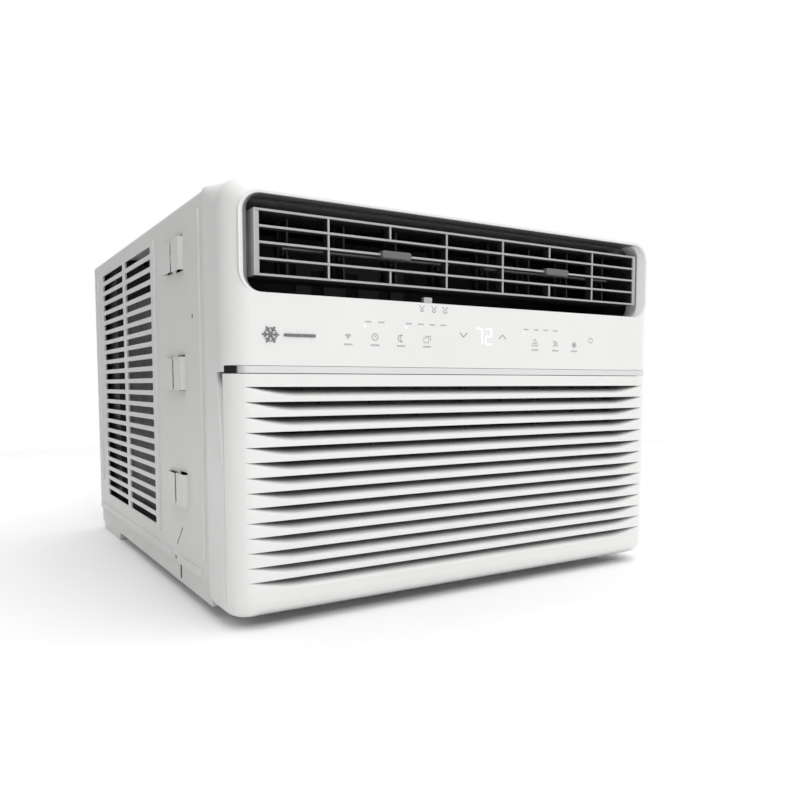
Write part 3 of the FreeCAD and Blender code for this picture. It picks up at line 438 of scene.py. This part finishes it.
WHITE = (0.80, 0.80, 0.79)
FINISHES = {
    "panel_white": panel_plastic("panel_white", WHITE),
    "grille_white": grille_plastic("grille_white", WHITE),
    "case_paint": powder_coat("case_paint", (0.76, 0.76, 0.745), 0.42),
    "trim_silver": trim_foil("trim_silver", "trim_strip"),
    "badge_chrome": brushed("badge_chrome", (0.22, 0.22, 0.23), 0.3, (1, 1, 0.1), 500),
    "louver_grey": louver_plastic("louver_grey", "louver_frame"),
    "tab_grey": moulded("tab_grey", (0.13, 0.13, 0.13), 0.4),
    # The air guide is painted near black as painted shade for the unit's interior
    "guide_grey": powder_coat("guide_grey", (0.10, 0.10, 0.10), 0.5),
    "duct_charcoal": duct_plastic("duct_charcoal", "outlet_duct"),
    "vane_black": moulded("vane_black", (0.035, 0.035, 0.035), 0.45, specular=0.35),
    "lever_grey": moulded("lever_grey", (0.45, 0.45, 0.45), 0.4),
    "foam_housing": moulded("foam_housing", (0.02, 0.02, 0.022), 0.7, grain=4.0, specular=0.3),
    "zinc_sheet": spangled("zinc_sheet", (0.60, 0.61, 0.62)),
    "fins": finned("fins", (0.80, 0.81, 0.83)),
    "copper": drawn_tube("copper", (0.86, 0.46, 0.30)),
    "compressor_paint": enamel("compressor_paint", (0.022, 0.022, 0.024)),
    "motor_metal": brushed("motor_metal", (0.62, 0.62, 0.63), 0.4, (1, 0.05, 1), 500),
    "steel_core": laminated("steel_core", (0.36, 0.36, 0.37)),
    "fan_plastic": moulded("fan_plastic", (0.03, 0.03, 0.032), 0.45),
    "rubber": rubber("rubber", (0.028, 0.028, 0.03)),
    "board_green": circuit_board("board_green"),
    "spring_steel": brushed("spring_steel", (0.66, 0.66, 0.67), 0.3, (1, 0.1, 1), 700),
    "diffuser": milky("diffuser", (0.86, 0.87, 0.86)),
    "filter_grey": moulded("filter_grey", (0.03, 0.03, 0.033), 0.55),
    "zinc_screws": brushed("zinc_screws", (0.64, 0.63, 0.58), 0.3, (1, 1, 0.2), 900),
}
INK = ink("icon_ink", (0.235, 0.235, 0.24))
GLOW = glowing("display_glow", (0.93, 1.0, 0.99), 0.6)


def dress(obj, finish):
    obj.data.materials.clear()
    obj.data.materials.append(finish)


def dress_nodes():
    """Gives each CAD node the finish of its material slot in the record."""
    for part in frame["record"]["subparts"]:
        dress(NODES[part["node"]], FINISHES[part["material_slot"]])


# ---------------------------------------------------------------- mesh helpers


def piece(name, bm, finish, body):
    """Turns a bmesh in millimetres into a piece that rides on a body."""
    bmesh.ops.transform(bm, matrix=Matrix.Scale(MM, 4), verts=bm.verts)
    mesh = bpy.data.meshes.new(name)
    bm.to_mesh(mesh)
    bm.free()
    obj = bpy.data.objects.new(name, mesh)
    bpy.context.scene.collection.objects.link(obj)
    dress(obj, finish)
    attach(obj, body)
    return obj


def add_box(bm, low, high):
    corners = [(x, y, z) for x in (low[0], high[0]) for y in (low[1], high[1]) for z in (low[2], high[2])]
    v = [bm.verts.new(c) for c in corners]
    for face in ((0, 1, 3, 2), (4, 6, 7, 5), (0, 4, 5, 1), (2, 3, 7, 6), (0, 2, 6, 4), (1, 5, 7, 3)):
        bm.faces.new([v[i] for i in face])


def add_rod(bm, radius, start, end, sides=12):
    """Round bar between two points."""
    axis = Vector(end) - Vector(start)
    turn = axis.to_track_quat("Z", "Y").to_matrix().to_4x4()
    middle = (Vector(start) + Vector(end)) / 2
    bmesh.ops.create_cone(bm, cap_ends=True, segments=sides, radius1=radius, radius2=radius,
                          depth=axis.length, matrix=Matrix.Translation(middle) @ turn)


def arc(cx, cz, radius, start, end, steps=12):
    """Points of an arc in the front plane, angles in degrees."""
    points = []
    for k in range(steps + 1):
        a = math.radians(start + (end - start) * k / steps)
        points.append((cx + radius * math.cos(a), cz + radius * math.sin(a)))
    return points


def add_stroke(bm, points, width=INK_WIDTH):
    """Flat ribbon on the front plane along a line of (x, z) points."""
    count = len(points)
    closed = points[0] == points[-1]
    pairs = []
    for k, (x, z) in enumerate(points):
        before = points[k - 1] if k else points[-2] if closed else points[0]
        after = points[k + 1] if k + 1 < count else points[1] if closed else points[-1]
        way = Vector((after[0] - before[0], after[1] - before[1])).normalized()
        side = Vector((-way.y, way.x)) * width / 2
        pairs.append([bm.verts.new((x + s * side.x, FRONT - PRINT_PROUD, z + s * side.y)) for s in (1, -1)])
    for (a, b), (c, d) in zip(pairs, pairs[1:]):
        bm.faces.new((a, c, d, b))


def add_disc(bm, cx, cz, radius):
    """Filled twelve-sided dot on the front plane."""
    bm.faces.new([bm.verts.new((x, FRONT - PRINT_PROUD, z)) for x, z in arc(cx, cz, radius, 0, 330, 11)])


def thin_print(name, bm, finish):
    """Gives flat print a film thickness down to the panel."""
    obj = piece(name, bm, finish, "chassis")
    film = obj.modifiers.new("film", "SOLIDIFY")
    film.thickness = PRINT_PROUD * MM * FILM_SHARE
    film.offset = 0.0
    return obj


# ---------------------------------------------------------------- intake grille


def front_at(x):
    """Depth of the rounded front behind the front plane."""
    over = abs(x) - FLAT_HALF
    if over <= 0:
        return 0.0
    return UPRIGHT_RADIUS - math.sqrt(UPRIGHT_RADIUS ** 2 - over ** 2)


def opening_at(x):
    """How far a louvre is opened: 0 at its pointed ends, 1 over the middle."""
    t = min(1.0, (LOUVRE_HALF - abs(x)) / LOUVRE_TAPER)
    return t * (1.5 - 0.5 * t * t)


def louvre_columns():
    """X positions of the sections: close together where the louvre tapers."""
    straight = LOUVRE_HALF - LOUVRE_TAPER
    steps = 20
    taper = [LOUVRE_HALF - LOUVRE_TAPER * k / steps for k in range(steps + 1)]
    inner = [straight * k / 3 for k in (2, 1)]
    half = taper + inner
    return [-x for x in half] + [0.0] + half[::-1]


def louvre_section(x, lip, foot):
    """Closed outline of one bar at this X: flat face, top that leans back, and the back of both."""
    t = opening_at(x)
    face = front_at(x)
    steps = 10
    start = lip - ROLL_HEIGHT * t
    front = []
    rear = []
    for k in range(steps + 1):
        share = k / steps
        depth = face + ROLL_DEPTH * t * share ** ROLL_CURVE
        height = start + (ROLL_HEIGHT - ROLL_GAP) * t * share
        front.append((depth, height))
        rear.append((depth + LOUVRE_WALL * (1 - share * t), height - ROLL_WALL * t * share))
    return [(face, foot)] + front + rear[::-1] + [(face + LOUVRE_WALL, foot)]


def add_louvre(bm, lip, foot):
    rings = []
    for x in louvre_columns():
        rings.append([bm.verts.new((x, FRONT + d, z)) for d, z in louvre_section(x, lip, foot)])
    count = len(rings[0])
    for a, b in zip(rings, rings[1:]):
        for k in range(count):
            n = (k + 1) % count
            bm.faces.new((a[k], a[n], b[n], b[k]))
    bm.faces.new(rings[0])
    bm.faces.new(rings[-1][::-1])


def loose_object(name, mesh):
    """Object that helps to make a piece and is removed again."""
    obj = bpy.data.objects.new(name, mesh)
    bpy.context.scene.collection.objects.link(obj)
    return obj


def grille_without_slots(low, high):
    """The CAD grille in millimetres, cut away between two heights to the depth of the slots."""
    frame_obj = loose_object("grille_frame", NODES["intake_grille"].data.copy())
    cutter_bm = bmesh.new()
    add_box(cutter_bm, (-LOUVRE_HALF, FRONT - 2, low), (LOUVRE_HALF, FRONT + SLOT_DEPTH, high))
    bmesh.ops.transform(cutter_bm, matrix=Matrix.Scale(MM, 4), verts=cutter_bm.verts)
    cutter_mesh = bpy.data.meshes.new("cutter")
    cutter_bm.to_mesh(cutter_mesh)
    cutter_bm.free()
    cutter = loose_object("cutter", cutter_mesh)
    cut = frame_obj.modifiers.new("cut", "BOOLEAN")
    cut.operation = "DIFFERENCE"
    cut.solver = "EXACT"
    cut.object = cutter
    bpy.context.view_layer.update()
    shaped = frame_obj.evaluated_get(bpy.context.evaluated_depsgraph_get())
    bm = bmesh.new()
    bm.from_mesh(shaped.to_mesh())
    bmesh.ops.transform(bm, matrix=Matrix.Scale(1 / MM, 4), verts=bm.verts)
    bpy.data.objects.remove(frame_obj)
    bpy.data.objects.remove(cutter)
    return bm


def grille_front():
    """Intake grille: the CAD moulding with curved louvres in the place of its slotted field."""
    lips = [LOUVRE_TOP - k * LOUVRE_PITCH for k in range(LOUVRE_COUNT)]
    last_foot = lips[-1] - LOUVRE_PITCH * 0.8
    bm = grille_without_slots(last_foot, lips[0])
    for lip, foot in zip(lips, lips[1:] + [last_foot]):
        add_louvre(bm, lip, foot)
    bmesh.ops.recalc_face_normals(bm, faces=bm.faces)
    obj = piece("grille_front", bm, FINISHES["grille_white"], "grille")
    smooth_by_angle(obj, 32)
    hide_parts("intake_grille")


def grille_ribs():
    """Upright ribs behind the louvres, painted black as painted shade."""
    bm = bmesh.new()
    for x in RIB_PLACES:
        add_box(bm, (x - 0.8, FRONT + 15.6, 28), (x + 0.8, FRONT + 18.6, 199))
    # The ribs take the black vane finish as painted shade
    piece("grille_ribs", bm, FINISHES["vane_black"], "grille")


def smooth_by_angle(obj, degrees):
    """Smooth shading that keeps edges sharper than this angle."""
    bm = bmesh.new()
    bm.from_mesh(obj.data)
    for face in bm.faces:
        face.smooth = True
    for edge in bm.edges:
        edge.smooth = len(edge.link_faces) == 2 and edge.calc_face_angle(math.pi) < math.radians(degrees)
    bm.to_mesh(obj.data)
    bm.free()


def filter_mesh():
    """Woven screen behind the grille, carried by the filter's lattice."""
    low, high = (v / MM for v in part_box("air_filter"))
    pitch = 3.0
    margin = 4.0
    y = high.y - 0.6
    bm = bmesh.new()
    for k in range(int((high.x - low.x - 2 * margin) / pitch)):
        x = low.x + margin + k * pitch
        add_rod(bm, 0.3, (x, y, low.z + margin), (x, y, high.z - margin), 5)
    for k in range(int((high.z - low.z - 2 * margin) / pitch)):
        z = low.z + margin + k * pitch
        add_rod(bm, 0.3, (low.x + margin, y + 0.3, z), (high.x - margin, y + 0.3, z), 5)
    piece("filter_mesh", bm, FINISHES["filter_grey"], "grille")


# ---------------------------------------------------------------- control area


def wifi(bm, cx, cz):
    add_disc(bm, cx, cz - 2.0, 0.5)
    for radius in (1.5, 2.7, 3.9):
        add_stroke(bm, arc(cx, cz - 2.4, radius, 45, 135))


def clock(bm, cx, cz):
    add_stroke(bm, arc(cx, cz, 2.9, 0, 360, 24))
    add_stroke(bm, [(cx, cz + 1.8), (cx, cz), (cx + 1.3, cz)])


def moon(bm, cx, cz):
    outer = arc(cx, cz, 3.0, 60, 300, 16)
    inner = arc(cx + 1.6, cz, 2.6, 266, 94, 14)
    add_stroke(bm, outer + inner + [outer[0]])


def stacked_cards(bm, cx, cz):
    add_stroke(bm, [(cx - 3.4, cz - 2.8), (cx + 2.0, cz - 2.8), (cx + 2.0, cz + 1.4), (cx - 3.4, cz + 1.4),
                    (cx - 3.4, cz - 2.8)])
    add_stroke(bm, [(cx - 1.8, cz + 2.9), (cx + 3.6, cz + 2.9), (cx + 3.6, cz - 1.2)])


def rotor_icon(bm, cx, cz):
    add_disc(bm, cx, cz, 0.7)
    for k in range(3):
        a = math.radians(90 + 120 * k)
        bx = cx + 2.3 * math.cos(a)
        bz = cz + 2.3 * math.sin(a)
        start = math.degrees(a)
        add_stroke(bm, arc(bx, bz, 1.55, start - 150, start + 120, 12))


def leaf(bm, cx, cz):
    add_stroke(bm, arc(cx - 2.4, cz - 2.4, 5.2, 0, 90, 10) + arc(cx + 2.8, cz + 2.8, 5.2, 180, 270, 10))
    add_stroke(bm, [(cx - 3.2, cz - 3.2), (cx + 1.2, cz + 1.2)])


def crystal(bm, cx, cz):
    for k in range(3):
        a = math.radians(90 + 60 * k)
        dx = 3.1 * math.cos(a)
        dz = 3.1 * math.sin(a)
        add_stroke(bm, [(cx - dx, cz - dz), (cx + dx, cz + dz)])
    for k in range(6):
        a = 90 + 60 * k
        stem = arc(cx, cz, 1.9, a, a, 1)[0]
        for side in (-35, 35):
            tip = arc(cx, cz, 2.8, a + side * 0.6, a + side * 0.6, 1)[0]
            add_stroke(bm, [stem, tip], 0.45)


def power(bm, cx, cz):
    add_stroke(bm, arc(cx, cz, 2.7, 120, 420, 20))
    add_stroke(bm, [(cx, cz + 3.4), (cx, cz + 0.6)])


def chevron(bm, cx, cz, way):
    add_stroke(bm, [(cx - 4.2, cz - way * 2.0), (cx, cz + way * 2.0), (cx + 4.2, cz - way * 2.0)], 0.9)


def label(bm, cx, cz, width, height=1.5):
    """Row of plain ticks in the place of a printed word."""
    pitch = 1.05
    count = int(width / pitch)
    for k in range(count):
        x = cx + (k - (count - 1) / 2) * pitch
        add_stroke(bm, [(x, cz - height / 2), (x, cz + height / 2)], 0.5)


def vent_mark(bm, x, number):
    """Mark for one place of the vent lever: an open fork over a bowl that grows with its number."""
    add_stroke(bm, [(x - 2.6, 266.0), (x, 262.6), (x + 2.6, 266.0)], 0.7)
    add_stroke(bm, arc(x, 262.4, 1.5 + 0.3 * number, 180, 360, 8), 0.7)


def control_print():
    """Grey print around the display: key icons, chevrons and rows of plain ticks."""
    bm = bmesh.new()
    keys = ((wifi, -136.3, 0.5), (clock, -110.3, 0.5), (moon, -84.2, 0.1), (stacked_cards, -57.0, 0.0),
            (rotor_icon, 70.6, 0.0), (leaf, 97.5, 0.5), (crystal, 123.3, -0.1))
    for draw, x, lift in keys:
        draw(bm, x, KEY_HEIGHT + lift)
        label(bm, x, KEY_LABEL_HEIGHT, 9.0)
    power(bm, 146.7, 241.5)
    chevron(bm, -16.6, 241.7, -1)
    chevron(bm, 29.5, 241.3, 1)
    for centres in ((-117.0, -104.0), (-76.0, -63.5, -51.5, -39.5), (59.0, 72.0, 84.5, 97.0)):
        for x in centres:
            label(bm, x, MODE_LABEL_HEIGHT, 7.0, 1.3)
    for number, x in enumerate((-62.3, -49.4, -37.4)):
        vent_mark(bm, x, number)
    thin_print("control_print", bm, INK)


def digit(bm, x0, segments):
    """Seven-segment figure from named strokes."""
    left, right, low, high = x0 + 0.8, x0 + 7.6, 233.9, 248.1
    middle = (low + high) / 2
    strokes = {
        "top": ((left, high), (right, high)), "middle": ((left, middle), (right, middle)),
        "bottom": ((left, low), (right, low)), "upper_right": ((right, high), (right, middle)),
        "lower_right": ((right, middle), (right, low)), "upper_left": ((left, high), (left, middle)),
        "lower_left": ((left, middle), (left, low)),
    }
    for name in segments:
        start, end = (Vector(p) for p in strokes[name])
        inset = (end - start).normalized() * 0.25
        add_stroke(bm, [tuple(start + inset), tuple(end - inset)], 1.15)


def display():
    """Lit figures and status lights."""
    bm = bmesh.new()
    digit(bm, -2.6, ("top", "upper_right", "lower_right"))
    digit(bm, 8.4, ("top", "upper_right", "middle", "lower_left", "bottom"))
    for x in (-120.0, -79.0, 56.5):
        add_disc(bm, x, 246.2, 0.8)
    thin_print("display_figures", bm, GLOW)


# ---------------------------------------------------------------- coils


def fin_stack(node, name, depths, lowest_tube, tube_count):
    """Close-set fins threaded on rows of tubes, in the space of the CAD block."""
    low, high = (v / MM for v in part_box(node))
    bm = bmesh.new()
    for k in range(int((high.x - low.x) / FIN_PITCH)):
        x = low.x + 0.3 + k * FIN_PITCH
        add_box(bm, (x, low.y, low.z), (x + FIN_SHEET, high.y, high.z))
    fins = piece(name, bm, FINISHES["fins"], "chassis")
    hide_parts(node)
    bm = bmesh.new()
    for depth in depths:
        for k in range(tube_count):
            z = lowest_tube + k * TUBE_STEP
            add_rod(bm, TUBE_RADIUS, (low.x, FRONT + depth, z), (high.x, FRONT + depth, z))
    tubes = piece(name + "_tubes", bm, FINISHES["copper"], "chassis")
    smooth_by_angle(tubes, 40)


def corner_gussets():
    """Plates that close the case's front corners behind the front moulding's round shoulders."""
    bm = bmesh.new()
    for side in (-1, 1):
        inner, outer = sorted((side * 221.0, side * 238.9))
        add_box(bm, (inner, FRONT + 52.1, 337.0), (outer, FRONT + 53.1, 354.4))
    piece("corner_gussets", bm, FINISHES["case_paint"], "chassis")


# ---------------------------------------------------------------- studio


def mapped(tree, value, start, end, low=0.0, high=1.0):
    """Map range node of the world, fed by one value."""
    node = tree.nodes.new("ShaderNodeMapRange")
    node.inputs["From Min"].default_value = start
    node.inputs["From Max"].default_value = end
    node.inputs["To Min"].default_value = low
    node.inputs["To Max"].default_value = high
    tree.links.new(value, node.inputs["Value"])
    return node


def studio_world():
    """White room that is dimmer to the left of the unit, except overhead."""
    world = bpy.data.worlds.new("studio")
    bpy.context.scene.world = world
    world.use_nodes = True
    tree = world.node_tree
    place = tree.nodes.new("ShaderNodeTexCoord")
    parts = tree.nodes.new("ShaderNodeSeparateXYZ")
    tree.links.new(place.outputs["Generated"], parts.inputs["Vector"])
    fall = mapped(tree, parts.outputs["X"], -0.6, 0.02, low=0.09)
    fall.interpolation_type = "SMOOTHSTEP"
    overhead = mapped(tree, parts.outputs["Z"], 0.35, 0.85)
    brighter = tree.nodes.new("ShaderNodeMath")
    brighter.operation = "MAXIMUM"
    tree.links.new(fall.outputs["Result"], brighter.inputs[0])
    tree.links.new(overhead.outputs["Result"], brighter.inputs[1])
    tree.links.new(brighter.outputs["Value"], tree.nodes["Background"].inputs["Strength"])
    tree.nodes["Background"].inputs["Color"].default_value = (1, 1, 1, 1)


def soft_box(name, place, target, size, watts):
    """Rectangular area light aimed at a point."""
    light = bpy.data.lights.new(name, "AREA")
    light.shape = "RECTANGLE"
    light.size, light.size_y = size
    light.energy = watts
    obj = bpy.data.objects.new(name, light)
    obj.location = place
    obj.rotation_euler = (Vector(target) - Vector(place)).to_track_quat("-Z", "Y").to_euler()
    bpy.context.scene.collection.objects.link(obj)


def floor():
    """Pale floor with a faint texture."""
    bm = bmesh.new()
    bmesh.ops.create_grid(bm, x_segments=8, y_segments=8, size=1.7)
    mesh = bpy.data.meshes.new("floor")
    bm.to_mesh(mesh)
    bm.free()
    obj = bpy.data.objects.new("floor", mesh)
    bpy.context.scene.collection.objects.link(obj)
    f = Finish("pale_floor", specular=0.2)
    f.colour(f.noise(4), (0.965, 0.965, 0.965), (0.98, 0.98, 0.98))
    f.roughness(f.noise(9), 0.6, 0.75)
    f.bump(f.noise(500), 0.02, 0.3)
    dress(obj, f.done())


def camera():
    """The camera that the unit is seen from."""
    data = bpy.data.cameras.new("camera")
    data.lens = 33.49
    data.shift_x = -0.0024
    data.shift_y = 0.047
    data.clip_start = 0.01
    obj = bpy.data.objects.new("camera", data)
    obj.location = (-0.42927, -0.82443, 0.19651)
    obj.rotation_euler = (math.radians(90 - 4.09), math.radians(0.09), math.radians(-31.96))
    bpy.context.scene.collection.objects.link(obj)
    bpy.context.scene.camera = obj


def studio():
    studio_world()
    floor()
    camera()
    soft_box("key", (-0.5, -2.4, 2.1), (0, 0, 0.2), (0.9, 0.9), 13.5)
    soft_box("overhead", (0.2, -0.5, 2.6), (0, -0.3, 0), (2.6, 2.6), 24)
    bpy.context.scene.view_settings.view_transform = "Standard"


dress_nodes()
grille_front()
grille_ribs()
filter_mesh()
control_print()
display()
fin_stack("condenser_fins", "condenser_fin_stack", (502, 520), 30, 14)
fin_stack("evaporator_fins", "evaporator_fin_stack", (50, 64), 46, 8)
corner_gussets()
studio()
